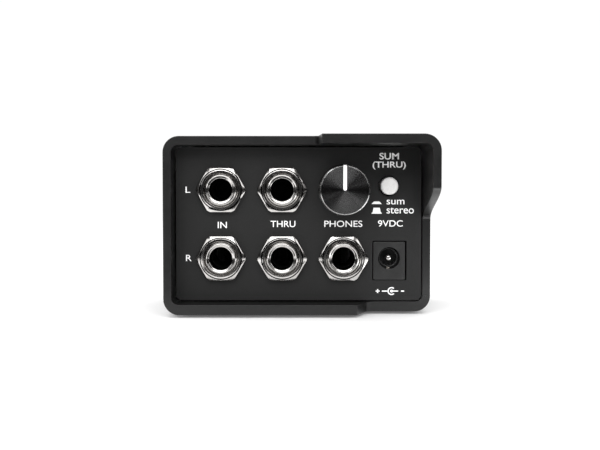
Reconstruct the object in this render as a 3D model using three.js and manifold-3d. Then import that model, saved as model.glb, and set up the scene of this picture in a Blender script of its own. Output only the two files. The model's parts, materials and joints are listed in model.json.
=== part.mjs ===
// A small desktop stereo headphone amplifier with all its connectors on one recessed panel.
// Millimetres, +Z up. The connector panel faces -Y, and the origin is on the floor under the middle.
import * as THREE from 'three';
import { mergeVertices } from 'three/addons/utils/BufferGeometryUtils.js';
import Module from 'manifold-3d';

const wasm = await Module();
wasm.setup();

// ---- driving dimensions ------------------------------------------------------------------------

// Case: an extruded sleeve, open at both ends, with thicker floor and roof than sides.
const CASE = { width: 75.6, height: 50, side: 2.3, floor: 2.9, roof: 2.5, outerRadius: 4.5, innerRadius: 2 };
const CASE_DEPTH = 66;
const HOOD = 24;           // how far the hood reaches in front of the panel
const RIM = 9;             // how far the rest of the raised rim reaches in front of the panel
const FOOT = { radius: 4, below: 0.8, pocket: 0.8, x: 28, front: 11.5, back: 36 };
const GAP = 0.3;           // assembly gap between two separate pieces
const OPEN = { width: CASE.width - 2 * CASE.side, height: CASE.height - CASE.floor - CASE.roof };
const CASE_MIDDLE = (CASE.roof - CASE.floor) / 2;   // height of the case's middle above the panel's middle
const UNDERSIDE = CASE_MIDDLE - CASE.height / 2;

// Where the case's front edge changes its reach, from the middle of the panel. Each ramp leaves the
// shallower stretch at x = foot, through a fillet, and runs straight to x = crest.
const ROOF_RAMP = { foot: 4.1, crest: 6.2, fillet: 1.35, low: RIM, high: HOOD };
const FLOOR_RAMP = { foot: 21.4, crest: 16.35, fillet: 2.5, low: 0, high: RIM };
const SIDE_CURVE = [1.4, 10.8];    // z, from the panel up to the hood's reach on the right-hand wall

// Panels.
const PLATE = { thick: 2, gap: 0.3, radius: 1.7 };
const LEDGE = { deep: 1.6, front: PLATE.thick + GAP, back: 4.4 };
const REAR_INSET = 1;

// Quarter-inch sockets: three columns and two rows.
const JACK_COLUMNS = { in: -22.2, thru: -4.7, phones: 12.8 };
const ROWS = { left: 9.8, right: -9.8 };
const JACKS = [
  ['in_left', JACK_COLUMNS.in, ROWS.left],
  ['in_right', JACK_COLUMNS.in, ROWS.right],
  ['thru_left', JACK_COLUMNS.thru, ROWS.left],
  ['thru_right', JACK_COLUMNS.thru, ROWS.right],
  ['phones', JACK_COLUMNS.phones, ROWS.right],
];
const JACK = {
  bore: 3.25, thread: 4.75, lip: 4.05, proud: 2.7, seat: 6,
  width: 15.2, back: 24.3, height: 12.6,
  slotHalf: 1.7, slotFront: 11,    // the slot above the bore that the tip spring stands in
};
const NUT = { flats: 12.7, corners: 14.1, thick: 2.3, bore: 5.05, face: 5.8, chamfer: 0.9 };

// Circuit boards, by the height of their upper face.
const BOARD = { thick: 1.6, lower: -16.2, upper: 3.2, halfWidth: 35, front: 4.7, back: 37.5 };
const RIB = { thick: 1.2, deep: 1.6 };
const HEADER = { halfWidth: 10, front: 33, back: 35.6, height: 2.8 };
const PIN = { count: 8, pitch: 2.54, width: 0.64, front: 34 };
const CAPACITOR = { radius: 3.15, height: 8.3 };
const CHIP = { width: 5, depth: 4, height: 1.6 };

// Rear cover bosses and their screws.
const BOSS = { size: 6, length: 11.7, inset: 3.6, hole: 1.5 };
const SCREW = { shank: 1.2, head: 2.6, rim: 0.2, cone: 1.5, length: 10, recess: 0.9, recessDeep: 1 };

// Volume control.
const KNOB = { radius: 6.9, skirt: 7.2, front: 12.8, back: 2.8, skirtTop: 4.4, edge: 0.5, hollow: 4.2 };
const SET_SCREW = { y: -8, radius: 1.1, from: 3.5, to: 6.2, socket: 0.6 };    // from the shaft's axis
const POT = { shaft: 3, shaftOut: 11, bore: 3.1, bush: 3.5, bushOut: 3.2, width: 9.8, back: 9.5, height: 12 };
const POT_NUT = { flats: 10, corners: 11.3, bore: POT.bush + GAP, face: 4.8, chamfer: 0.3, thick: 2 };

// Mono / stereo button and its latching switch.
const BUTTON = { x: 25.8, z: 10.9, radius: 2.5, hole: 2.95, proud: 3.8, back: 5, travel: 2.2 };
const SWITCH = { width: 8, front: 8.5, back: 21, above: 4.2 };
const PLUNGER = { half: 1.5, tip: 0.9, tipHalf: 1.125, end: 15 };

// Direct-current inlet.
const INLET = { x: 25.95, z: ROWS.right, left: 21.4, right: 30.55, bottom: -16.05, top: -5.1, back: 14 };
const INLET_HOLE = { radius: 3.2, depth: 9.5, pin: 1.05, pinTip: 1, pinEnd: 12.2 };
const LEAF_SLOT = { half: 1.5, low: 4.6, front: 1.2 };

// ---- solids ------------------------------------------------------------------------------------

const ROUND = 28;          // facets of a large round
const SMALL = 16;          // facets of a small round
const FAR = 60;            // beyond the object on every side, for cutting through

function solid(geometry) {
  const bare = geometry.clone();
  bare.deleteAttribute('normal');
  bare.deleteAttribute('uv');
  const merged = mergeVertices(bare, 1e-5);
  return new wasm.Manifold(new wasm.Mesh({
    numProp: 3,
    vertProperties: new Float32Array(merged.attributes.position.array),
    triVerts: new Uint32Array(merged.index.array),
  }));
}

function geometryOf(body) {
  const mesh = body.getMesh();
  const geometry = new THREE.BufferGeometry();
  geometry.setAttribute('position', new THREE.BufferAttribute(mesh.vertProperties, 3));
  geometry.setIndex(new THREE.BufferAttribute(mesh.triVerts, 1));
  const flat = geometry.toNonIndexed();
  flat.computeVertexNormals();
  return flat;
}

const join = (first, ...others) => others.reduce((sum, next) => sum.add(next), first);
const cut = (first, ...others) => others.reduce((left, next) => left.subtract(next), first);

// A box from its lowest and highest corners.
function box(x0, x1, y0, y1, z0, z1) {
  const geometry = new THREE.BoxGeometry(x1 - x0, y1 - y0, z1 - z0);
  geometry.translate((x0 + x1) / 2, (y0 + y1) / 2, (z0 + z1) / 2);
  return solid(geometry);
}

// An outline drawn in X and Z, run from y0 back to y1.
function alongY(shape, y0, y1) {
  const options = { depth: y1 - y0, bevelEnabled: false, curveSegments: 6 };
  const geometry = new THREE.ExtrudeGeometry(shape, options);
  geometry.rotateX(Math.PI / 2);
  geometry.translate(0, y1, 0);
  return solid(geometry);
}

// An outline drawn in X and Y, run from z0 up to z1.
function alongZ(shape, z0, z1) {
  const geometry = new THREE.ExtrudeGeometry(shape, { depth: z1 - z0, bevelEnabled: false });
  geometry.translate(0, 0, z0);
  return solid(geometry);
}

// An outline drawn in Y and Z, run from x0 across to x1.
function alongX(shape, x0, x1) {
  const geometry = new THREE.ExtrudeGeometry(shape, { depth: x1 - x0, bevelEnabled: false });
  geometry.rotateX(Math.PI / 2);
  geometry.rotateZ(Math.PI / 2);
  geometry.translate(x0, 0, 0);
  return solid(geometry);
}

// A turned solid about a front-to-back axis. The profile lists [radius, y] pairs, closed on itself.
function turned(profile, x, z, facets = ROUND) {
  const points = [...profile, profile[0]].map(([radius, y]) => new THREE.Vector2(radius, y));
  if (THREE.ShapeUtils.area(points) < 0) points.reverse();
  const geometry = new THREE.LatheGeometry(points, facets);
  geometry.translate(x, 0, z);
  return solid(geometry);
}

function rod(radius, y0, y1, x, z, facets = ROUND) {
  const geometry = new THREE.CylinderGeometry(radius, radius, y1 - y0, facets);
  geometry.translate(x, (y0 + y1) / 2, z);
  return solid(geometry);
}

function upright(radius, z0, z1, x, y, facets = ROUND) {
  const geometry = new THREE.CylinderGeometry(radius, radius, z1 - z0, facets);
  geometry.rotateX(Math.PI / 2);
  geometry.translate(x, y, (z0 + z1) / 2);
  return solid(geometry);
}

const outline = (points) => new THREE.Shape(points.map(([a, b]) => new THREE.Vector2(a, b)));

function roundedRectangle(width, height, radius) {
  const [x, z] = [width / 2 - radius, height / 2 - radius];
  const shape = new THREE.Shape();
  shape.absarc(x, z, radius, 0, Math.PI / 2);
  shape.absarc(-x, z, radius, Math.PI / 2, Math.PI);
  shape.absarc(-x, -z, radius, Math.PI, 1.5 * Math.PI);
  shape.absarc(x, -z, radius, 1.5 * Math.PI, 2 * Math.PI);
  shape.closePath();
  return shape;
}

const plate = (width, height, radius, y0, y1) => alongY(roundedRectangle(width, height, radius), y0, y1);

// A bent strip of even thickness, its middle line drawn in Y and Z.
function strip(middle, thick, width, x, z) {
  const line = middle.map(([y, h]) => new THREE.Vector2(y, h));
  const normals = line.map((point, i) => {
    const before = line[Math.max(i - 1, 0)];
    const after = line[Math.min(i + 1, line.length - 1)];
    const along = after.clone().sub(before).normalize();
    return new THREE.Vector2(-along.y, along.x).multiplyScalar(thick / 2);
  });
  const left = line.map((point, i) => point.clone().add(normals[i]));
  const right = line.map((point, i) => point.clone().sub(normals[i])).reverse();
  return alongX(new THREE.Shape([...left, ...right]), x - width / 2, x + width / 2).translate([0, 0, z]);
}

// ---- scene graph -------------------------------------------------------------------------------

const amplifier = new THREE.Group();

// Everything below is measured from the middle of the panel's front face.
const assembly = new THREE.Group();
assembly.position.set(0, HOOD - CASE_DEPTH / 2, FOOT.below - UNDERSIDE);
amplifier.add(assembly);

const FINISH = {
  coat: { color: 0x1b1b1c, roughness: 0.6, metalness: 0.1 },
  nickel: { color: 0xb9b8b4, roughness: 0.25, metalness: 1 },
  blackMetal: { color: 0x18181a, roughness: 0.35, metalness: 0.9 },
  blackPlastic: { color: 0x141415, roughness: 0.5, metalness: 0 },
  whitePlastic: { color: 0xe6e6e4, roughness: 0.35, metalness: 0 },
  rubber: { color: 0x101010, roughness: 0.85, metalness: 0 },
  board: { color: 0x0f3a22, roughness: 0.5, metalness: 0 },
  steel: { color: 0x8f9092, roughness: 0.35, metalness: 1 },
  bronze: { color: 0xb08a4e, roughness: 0.35, metalness: 1 },
};

function add(name, body, finish, parent = assembly) {
  const mesh = new THREE.Mesh(geometryOf(body), new THREE.MeshStandardMaterial(FINISH[finish]));
  mesh.name = name;
  parent.add(mesh);
}

const BACK = CASE_DEPTH - HOOD;                        // rear end of the case behind the panel
const COVER = { front: BACK - REAR_INSET - PLATE.thick, back: BACK - REAR_INSET };
const corners = [[-1, 1], [1, 1], [-1, -1], [1, -1]];
const bossX = OPEN.width / 2 - BOSS.inset;
const bossZ = OPEN.height / 2 - BOSS.inset;

// ---- case --------------------------------------------------------------------------------------

// The depth of the right-hand wall in front of the panel, eased from nothing up to the hood.
function sideDepth(z) {
  const t = THREE.MathUtils.clamp((z - SIDE_CURVE[0]) / (SIDE_CURVE[1] - SIDE_CURVE[0]), 0, 1);
  return HOOD * t * t * (3 - 2 * t);
}

// The ramp's edge as [x, -reach] points: its fillet, then the straight run carried on past the crest.
function rampEdge({ foot, crest, fillet, low, high }, beyond) {
  const side = Math.sign(crest - foot);
  const run = Math.abs(crest - foot);
  const rise = high - low - fillet;
  const steepness = Math.atan2(rise, run) + Math.asin(fillet / Math.hypot(run, rise));
  const steps = 5;
  const points = Array.from({ length: steps + 1 }, (unused, i) => {
    const turn = steepness * i / steps;
    return [foot + side * fillet * Math.sin(turn), -low - fillet * (1 - Math.cos(turn))];
  });
  const [x, y] = points.at(-1);
  const stretch = (high + beyond + y) / (high + y);
  return [...points, [x + (crest - x) * stretch, -high - beyond]];
}

function frontCuts() {
  const beyond = 5;
  const roof = outline([[-FAR, -HOOD - beyond], [-FAR, -RIM], ...rampEdge(ROOF_RAMP, beyond)]);
  const floorEdge = rampEdge(FLOOR_RAMP, 0);
  const floor = outline([
    [-FAR, -HOOD - beyond], [-FAR, -RIM], ...floorEdge.reverse(), [FAR, 0], [FAR, -HOOD - beyond],
  ]);
  const steps = 14;
  const curve = Array.from({ length: steps + 1 }, (unused, i) => {
    const z = THREE.MathUtils.lerp(SIDE_CURVE[0], SIDE_CURVE[1], i / steps);
    return [-sideDepth(z), z];
  });
  const side = outline([
    [0, -OPEN.height / 2], ...curve, [-HOOD - beyond, SIDE_CURVE[1]], [-HOOD - beyond, -OPEN.height / 2],
  ]);
  return [
    alongZ(roof, -FAR, FAR),
    alongZ(floor, -FAR, -OPEN.height / 2 + CASE.innerRadius),
    alongX(side, OPEN.width / 2 - CASE.innerRadius, FAR),
  ];
}

function guideRibs(top, back) {
  const wall = OPEN.width / 2;
  const heights = [
    [top + GAP, top + GAP + RIB.thick],
    [top - BOARD.thick - GAP - RIB.thick, top - BOARD.thick - GAP],
  ];
  return [-1, 1].flatMap((side) => heights.map(([z0, z1]) => {
    const xs = [side * (wall - RIB.deep), side * (wall + 1)].sort((a, b) => a - b);
    return box(xs[0], xs[1], LEDGE.front + 1, back, z0, z1);
  }));
}

function caseShell() {
  const outer = plate(CASE.width, CASE.height, CASE.outerRadius, -HOOD, BACK).translate([0, 0, CASE_MIDDLE]);
  const bore = plate(OPEN.width, OPEN.height, CASE.innerRadius, -HOOD - 1, BACK + 1);
  const ring = plate(OPEN.width + 1, OPEN.height + 1, CASE.innerRadius, LEDGE.front, LEDGE.back);
  const ringHole = plate(OPEN.width - 2 * LEDGE.deep, OPEN.height - 2 * LEDGE.deep, 1, 0, LEDGE.back + 1);
  const bossEnd = COVER.front - GAP;
  const bosses = corners.map(([sx, sz]) => {
    const x = [sx * (OPEN.width / 2 - BOSS.size), sx * (OPEN.width / 2 + 1)].sort((a, b) => a - b);
    const z = [sz * (OPEN.height / 2 - BOSS.size), sz * (OPEN.height / 2 + 1)].sort((a, b) => a - b);
    return box(x[0], x[1], bossEnd - BOSS.length, bossEnd, z[0], z[1]);
  });
  const screwHoles = corners.map(([sx, sz]) => (
    rod(BOSS.hole, bossEnd - BOSS.length + 1, bossEnd + 1, sx * bossX, sz * bossZ, SMALL)
  ));
  const pockets = [-FOOT.x, FOOT.x].flatMap((x) => [FOOT.front, FOOT.back].map((y) => (
    upright(FOOT.radius + GAP, UNDERSIDE - 1, UNDERSIDE + FOOT.pocket, x, y)
  )));
  const walls = cut(outer, bore, ...frontCuts());
  const inside = [
    cut(ring, ringHole),
    ...guideRibs(BOARD.lower, BACK - 17),
    ...guideRibs(BOARD.upper, BOARD.back),
    ...bosses,
  ].map((piece) => piece.intersect(plate(OPEN.width + 1, OPEN.height + 1, CASE.innerRadius, 0, BACK)));
  return cut(join(walls, ...inside), ...screwHoles, ...pockets);
}

add('shell', caseShell(), 'coat');

[['front_left', -FOOT.x, FOOT.front], ['front_right', FOOT.x, FOOT.front],
  ['rear_left', -FOOT.x, FOOT.back], ['rear_right', FOOT.x, FOOT.back]].forEach(([place, x, y]) => {
  const [low, high] = [UNDERSIDE - FOOT.below, UNDERSIDE + FOOT.pocket - GAP];
  add(`foot_${place}`, upright(FOOT.radius, low, high, x, y), 'rubber');
});

// ---- panels ------------------------------------------------------------------------------------

const PLATE_WIDTH = OPEN.width - 2 * PLATE.gap;
const PLATE_HEIGHT = OPEN.height - 2 * PLATE.gap;

function frontPanel() {
  const through = [-1, PLATE.thick + 1];
  const jackHoles = JACKS.map(([, x, z]) => rod(JACK.thread + GAP, ...through, x, z));
  return cut(
    plate(PLATE_WIDTH, PLATE_HEIGHT, PLATE.radius, 0, PLATE.thick),
    ...jackHoles,
    rod(POT.bush + GAP, ...through, JACK_COLUMNS.phones, ROWS.left),
    rod(BUTTON.hole, ...through, BUTTON.x, BUTTON.z, ROUND),
    box(INLET.left - GAP, INLET.right + GAP, ...through, INLET.bottom - GAP, INLET.top + GAP),
  );
}

add('front_panel', frontPanel(), 'coat');

// The outline of a countersunk screw, or of the hole that clears it.
const countersink = (clear) => [
  [0, COVER.back + clear],
  [SCREW.head + clear, COVER.back + clear],
  [SCREW.head + clear, COVER.back - SCREW.rim],
  [SCREW.shank + clear, COVER.back - SCREW.cone],
  [SCREW.shank + clear, COVER.back - SCREW.length],
  [0, COVER.back - SCREW.length],
];

add('rear_cover', cut(
  plate(PLATE_WIDTH, PLATE_HEIGHT, PLATE.radius, COVER.front, COVER.back),
  ...corners.map(([sx, sz]) => turned(countersink(GAP), sx * bossX, sz * bossZ, SMALL)),
), 'coat');

corners.forEach(([sx, sz], i) => {
  const [x, z] = [sx * bossX, sz * bossZ];
  const recess = rod(SCREW.recess, COVER.back - SCREW.recessDeep, COVER.back + 1, x, z, 6);
  add(`rear_screw_${i + 1}`, cut(turned(countersink(0), x, z, SMALL), recess), 'blackMetal');
});

// ---- circuit boards ----------------------------------------------------------------------------

const boardBlank = (top) => box(
  -BOARD.halfWidth, BOARD.halfWidth, BOARD.front, BOARD.back, top - BOARD.thick, top,
);
const notchX = OPEN.width / 2 - BOSS.size - 0.6;
const notchY = COVER.front - GAP - BOSS.length - 0.6;

// The lower board is notched round the rear bosses.
add('lower_board', cut(
  boardBlank(BOARD.lower),
  box(notchX, FAR, notchY, FAR, -FAR, 0),
  box(-FAR, -notchX, notchY, FAR, -FAR, 0),
), 'board');
add('upper_board', boardBlank(BOARD.upper), 'board');
add('board_connector', join(
  box(-HEADER.halfWidth, HEADER.halfWidth, HEADER.front, HEADER.back,
    BOARD.lower + GAP, BOARD.lower + HEADER.height),
  ...Array.from({ length: PIN.count }, (unused, i) => {
    const x = (i - (PIN.count - 1) / 2) * PIN.pitch;
    return box(x - PIN.width / 2, x + PIN.width / 2, PIN.front, PIN.front + PIN.width,
      BOARD.lower + HEADER.height / 2, BOARD.upper - BOARD.thick - GAP);
  }),
), 'blackPlastic');

[[-26, 30], [-18, 30], [16, 30], [24, 30]].forEach(([x, y], i) => {
  const [low, high] = [BOARD.lower + GAP, BOARD.lower + CAPACITOR.height];
  add(`capacitor_${i + 1}`, upright(CAPACITOR.radius, low, high, x, y, 24), 'blackPlastic');
});
const CHIPS = [['amplifier_chip', 13, 18], ['buffer_chip', 13, 29], ['regulator_chip', -4.4, 30]];
CHIPS.forEach(([name, x, y]) => {
  const z = BOARD.upper + GAP;
  add(name, box(
    x - CHIP.width / 2, x + CHIP.width / 2, y - CHIP.depth / 2, y + CHIP.depth / 2, z, z + CHIP.height,
  ), 'blackPlastic');
});

// ---- sockets -----------------------------------------------------------------------------------

function jackBody(x, z) {
  const front = PLATE.thick + GAP;
  const half = JACK.width / 2;
  return cut(
    box(x - half, x + half, front, JACK.back, z - JACK.height / 2, z + JACK.height / 2),
    rod(JACK.thread + GAP, front - 1, JACK.seat + GAP, x, z),
    rod(JACK.bore + 0.05, front, JACK.back + 1, x, z),
    box(x - JACK.slotHalf, x + JACK.slotHalf, JACK.slotFront, JACK.back + 1, z, z + JACK.height),
  );
}

const bushing = (x, z) => turned([
  [JACK.bore, -JACK.proud + 0.3], [JACK.bore + 0.25, -JACK.proud], [JACK.lip, -JACK.proud],
  [JACK.thread, -JACK.proud + 0.7], [JACK.thread, JACK.seat], [JACK.bore, JACK.seat],
], x, z);

function hexagon(flats) {
  const corner = flats / Math.sqrt(3);
  return outline(Array.from({ length: 6 }, (unused, i) => (
    [corner * Math.cos(i * Math.PI / 3), corner * Math.sin(i * Math.PI / 3)]
  )));
}

// A hexagon nut, its corners to the sides and turned round, and its front edge turned to a cone.
function nut({ flats, corners: across, bore, face, chamfer, thick }, x, z) {
  const back = -GAP / 2;
  const body = alongY(hexagon(flats), back - thick, back).translate([x, 0, z]);
  const turnedDown = turned([
    [0, back + 1], [across / 2, back + 1], [across / 2, back - thick + chamfer],
    [face, back - thick], [0, back - thick],
  ], x, z);
  return cut(body.intersect(turnedDown), rod(bore, -thick - 2, 1, x, z));
}

// The spring's middle line as [y, height above the socket's axis], from its tail forwards.
const TIP_SPRING = [
  [23.7, 6], [23.7, 4.9], [22.6, 4.3], [16.5, 3.7], [14.4, 2.75], [13, 3.4], [12.3, 4.4],
];

JACKS.forEach(([name, x, z]) => {
  add(`${name}_jack_body`, jackBody(x, z), 'blackPlastic');
  add(`${name}_jack_bushing`, bushing(x, z), 'nickel');
  add(`${name}_jack_nut`, nut(NUT, x, z), 'nickel');
  add(`${name}_tip_spring`, strip(TIP_SPRING, 0.4, 2.6, x, z), 'bronze');
});

// ---- volume control ----------------------------------------------------------------------------

const [knobX, knobZ] = [JACK_COLUMNS.phones, ROWS.left];

add('pot_body', cut(
  join(
    box(knobX - POT.width / 2, knobX + POT.width / 2, PLATE.thick + GAP, POT.back,
      BOARD.upper + GAP, BOARD.upper + GAP + POT.height),
    rod(POT.bush, -POT.bushOut, 4, knobX, knobZ),
  ),
  rod(POT.bore, -POT.bushOut - 1, POT.back - 1, knobX, knobZ),
), 'steel');
add('pot_nut', nut(POT_NUT, knobX, knobZ), 'steel');
add('pot_shaft', rod(POT.shaft, -POT.shaftOut, POT.back - 1.5, knobX, knobZ), 'steel');

// The set screw lies below the shaft, across the knob.
add('volume_knob', cut(
  turned([
    [0, -KNOB.front], [KNOB.radius - KNOB.edge, -KNOB.front], [KNOB.radius, -KNOB.front + KNOB.edge],
    [KNOB.radius, -KNOB.skirtTop], [KNOB.skirt, -KNOB.skirtTop + 0.3],
    [KNOB.skirt, -KNOB.back], [0, -KNOB.back],
  ], knobX, knobZ, 48),
  rod(POT.shaft + 0.2, -POT.shaftOut - GAP, 0, knobX, knobZ),
  rod(POT.bush + 0.7, -KNOB.hollow, 0, knobX, knobZ),
  upright(SET_SCREW.radius + 0.2, knobZ - 9, knobZ, knobX, SET_SCREW.y, SMALL),
), 'blackMetal');
add('knob_set_screw', cut(
  upright(SET_SCREW.radius, knobZ - SET_SCREW.to, knobZ - SET_SCREW.from, knobX, SET_SCREW.y, SMALL),
  upright(SET_SCREW.socket, knobZ - SET_SCREW.to - 1, knobZ - SET_SCREW.to + 1, knobX, SET_SCREW.y, 6),
), 'steel');

// ---- mono / stereo button ----------------------------------------------------------------------

const plungerBar = (half, y0, y1) => box(
  BUTTON.x - half, BUTTON.x + half, y0, y1, BUTTON.z - half, BUTTON.z + half,
);

add('button_cap', cut(
  turned([
    [0, -BUTTON.proud], [BUTTON.radius - 0.4, -BUTTON.proud], [BUTTON.radius, -BUTTON.proud + 0.4],
    [BUTTON.radius, BUTTON.back], [0, BUTTON.back],
  ], BUTTON.x, BUTTON.z),
  plungerBar(PLUNGER.tipHalf + 0.2, PLUNGER.tip - 0.4, BUTTON.back + 1),
), 'whitePlastic');
add('switch_plunger', join(
  plungerBar(PLUNGER.tipHalf, PLUNGER.tip, BUTTON.back + 1),
  plungerBar(PLUNGER.half, BUTTON.back + 0.5, PLUNGER.end),
), 'whitePlastic');
add('switch_body', cut(
  box(BUTTON.x - SWITCH.width / 2, BUTTON.x + SWITCH.width / 2, SWITCH.front, SWITCH.back,
    BOARD.upper + GAP, BUTTON.z + SWITCH.above),
  plungerBar(PLUNGER.half + GAP, 0, PLUNGER.end + BUTTON.travel + 0.8),
), 'blackPlastic');

// ---- direct-current inlet ----------------------------------------------------------------------

add('dc_inlet_body', cut(
  box(INLET.left, INLET.right, 0, INLET.back, INLET.bottom, INLET.top),
  rod(INLET_HOLE.radius, -1, INLET_HOLE.depth, INLET.x, INLET.z),
  rod(INLET_HOLE.pin + GAP, 0, INLET_HOLE.pinEnd + GAP, INLET.x, INLET.z, SMALL),
  box(INLET.x - LEAF_SLOT.half, INLET.x + LEAF_SLOT.half, LEAF_SLOT.front, INLET_HOLE.depth,
    INLET.z - LEAF_SLOT.low, INLET.z),
), 'blackPlastic');
add('dc_inlet_pin', rod(
  INLET_HOLE.pin, INLET_HOLE.pinTip, INLET_HOLE.pinEnd, INLET.x, INLET.z, SMALL,
), 'nickel');
add('dc_inlet_spring', strip(
  [[9, -4.1], [7, -4], [4.6, -2.9], [3, -2.9], [1.9, -3.8]], 0.35, 2.2, INLET.x, INLET.z,
), 'nickel');

export default amplifier;
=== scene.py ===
"""Looks for a small stereo headphone amplifier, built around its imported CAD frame.

Lengths are in metres. Small sizes are written in millimetres times MM. Profiles written in plain numbers
list (radius, place along the axis) in millimetres.
"""
import json
import math

import bmesh
import bpy
import numpy as np
from mathutils import Matrix, Vector


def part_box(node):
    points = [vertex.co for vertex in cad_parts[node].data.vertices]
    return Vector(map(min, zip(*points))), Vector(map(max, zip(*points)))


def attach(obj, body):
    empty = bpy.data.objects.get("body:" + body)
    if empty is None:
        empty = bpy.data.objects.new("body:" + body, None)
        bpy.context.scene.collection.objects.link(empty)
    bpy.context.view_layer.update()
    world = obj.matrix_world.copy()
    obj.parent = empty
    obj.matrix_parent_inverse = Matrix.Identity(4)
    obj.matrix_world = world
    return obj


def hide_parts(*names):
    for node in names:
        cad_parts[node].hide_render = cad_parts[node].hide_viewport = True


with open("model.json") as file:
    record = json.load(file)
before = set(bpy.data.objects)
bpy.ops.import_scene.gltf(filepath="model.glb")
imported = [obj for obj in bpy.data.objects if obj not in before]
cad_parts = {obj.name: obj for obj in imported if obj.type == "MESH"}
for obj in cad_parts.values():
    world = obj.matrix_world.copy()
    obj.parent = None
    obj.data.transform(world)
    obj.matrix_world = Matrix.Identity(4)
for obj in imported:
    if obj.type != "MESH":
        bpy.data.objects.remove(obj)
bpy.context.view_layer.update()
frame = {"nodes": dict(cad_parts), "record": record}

MM = 0.001

# ---- places taken from the frame ---------------------------------------------------------------

panel_low, panel_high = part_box("front_panel")
shell_low, shell_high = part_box("shell")
cover_low, cover_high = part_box("rear_cover")
PANEL_Y = panel_low.y                                # the panel's front face
PANEL_Z = (panel_low.z + panel_high.z) / 2           # its middle
JACK_NAMES = ["in_left", "in_right", "thru_left", "thru_right", "phones"]


def middle(node):
    low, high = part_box(node)
    return (low + high) / 2


# ---- camera ------------------------------------------------------------------------------------

CAMERA_AHEAD = 0.305        # in front of the panel
CAMERA_UP = 0.0120          # above the middle of the panel
CAMERA_RIGHT = 0.0004
CAMERA_TILT = math.radians(2.309)
CAMERA_LENS = 63.86

camera_data = bpy.data.cameras.new("camera")
camera = bpy.data.objects.new("camera", camera_data)
camera.location = (CAMERA_RIGHT, PANEL_Y - CAMERA_AHEAD, PANEL_Z + CAMERA_UP)
camera.rotation_euler = (math.pi / 2 - CAMERA_TILT, 0, 0)
camera_data.lens = CAMERA_LENS
camera_data.sensor_width = 36
camera_data.clip_start = 0.01
bpy.context.scene.collection.objects.link(camera)
bpy.context.scene.camera = camera
bpy.context.scene.view_settings.view_transform = "Standard"

# ---- node helpers ------------------------------------------------------------------------------


class Shader:
    """A material's node tree, with short ways to add the nodes that this script uses."""

    def __init__(self, name):
        self.material = bpy.data.materials.new(name)
        self.material.use_nodes = True
        self.nodes = self.material.node_tree.nodes
        self.links = self.material.node_tree.links
        self.principled = self.nodes["Principled BSDF"]

    def add(self, kind, inputs=None, **settings):
        node = self.nodes.new(kind)
        for key, value in settings.items():
            setattr(node, key, value)
        for key, value in (inputs or {}).items():
            self.feed(node.inputs[key], value)
        return node

    def feed(self, socket, value):
        if isinstance(value, bpy.types.NodeSocket):
            self.links.new(value, socket)
        else:
            socket.default_value = value

    def set(self, **values):
        for key, value in values.items():
            self.feed(self.principled.inputs[key.replace("_", " ")], value)

    def place(self):
        """Where a point is in the piece, in metres."""
        return self.add("ShaderNodeTexCoord").outputs["Object"]

    def attribute(self, name, output="Vector"):
        return self.add("ShaderNodeAttribute", attribute_name=name).outputs[output]

    def noise(self, size, detail=2.0, rough=0.5, vector=None):
        node = self.add("ShaderNodeTexNoise", {
            "Scale": 1 / size, "Detail": detail, "Roughness": rough, "Vector": vector or self.place(),
        })
        return node.outputs["Fac"]

    def cells(self, size):
        node = self.add("ShaderNodeTexVoronoi", {"Scale": 1 / size, "Vector": self.place()})
        return node.outputs["Distance"]

    def math(self, operation, a, b):
        node = self.add("ShaderNodeMath", {0: a, 1: b}, operation=operation)
        return node.outputs[0]

    def ramp(self, value, low, high, out_low=0.0, out_high=1.0):
        node = self.add("ShaderNodeMapRange", {
            "Value": value, "From Min": low, "From Max": high, "To Min": out_low, "To Max": out_high,
        })
        return node.outputs["Result"]

    def mix(self, fac, a, b):
        node = self.add("ShaderNodeMix", data_type="RGBA")
        self.feed(node.inputs["Factor"], fac)
        self.feed(node.inputs[6], a if isinstance(a, bpy.types.NodeSocket) else (*a, 1))
        self.feed(node.inputs[7], b if isinstance(b, bpy.types.NodeSocket) else (*b, 1))
        return node.outputs[2]

    def bump(self, height, distance, strength=1.0, under=None):
        node = self.add("ShaderNodeBump", {"Height": height, "Distance": distance, "Strength": strength})
        if under is not None:
            self.feed(node.inputs["Normal"], under)
        return node.outputs["Normal"]


def grey(value, warm=0.0):
    return (value * (1 + warm), value, value * (1 - warm))


# ---- materials ---------------------------------------------------------------------------------


def powder_coat(name, level, rough, shine):
    """Fine matt black powder coat: a pebbled film, a little paler where edges are rubbed."""
    s = Shader(name)
    grain = s.noise(0.32 * MM, 3, 0.6)
    cloud = s.noise(9 * MM, 3, 0.55)
    rubbed = s.math("MULTIPLY", s.attribute("edge", "Fac"), s.ramp(s.noise(1.6 * MM, 4, 0.6), 0.42, 0.7))
    colour = s.mix(s.ramp(grain, 0.3, 0.7), grey(level * 0.8), grey(level * 1.2))
    colour = s.mix(s.ramp(cloud, 0.3, 0.7, 0, 0.25), colour, grey(level * 1.25))
    colour = s.mix(s.math("MULTIPLY", rubbed, 0.6), colour, grey(level * 3.2))
    s.set(Base_Color=colour, Metallic=0.0, Specular_IOR_Level=shine)
    s.set(Roughness=s.math("ADD", s.ramp(cloud, 0.3, 0.7, rough - 0.04, rough + 0.04),
                           s.ramp(grain, 0.3, 0.7, -0.04, 0.04)))
    coarse = s.bump(s.cells(0.55 * MM), 0.012 * MM, 0.5)
    s.set(Normal=s.bump(grain, 0.014 * MM, 0.7, coarse))
    return s.material


def radius_of(s):
    """Distance from the piece's own turning axis, in metres."""
    local = s.attribute("local")
    flat = s.add("ShaderNodeVectorMath", {0: local, 1: (1, 0, 1)}, operation="MULTIPLY").outputs[0]
    return s.add("ShaderNodeVectorMath", {0: flat}, operation="LENGTH").outputs["Value"]


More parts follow.
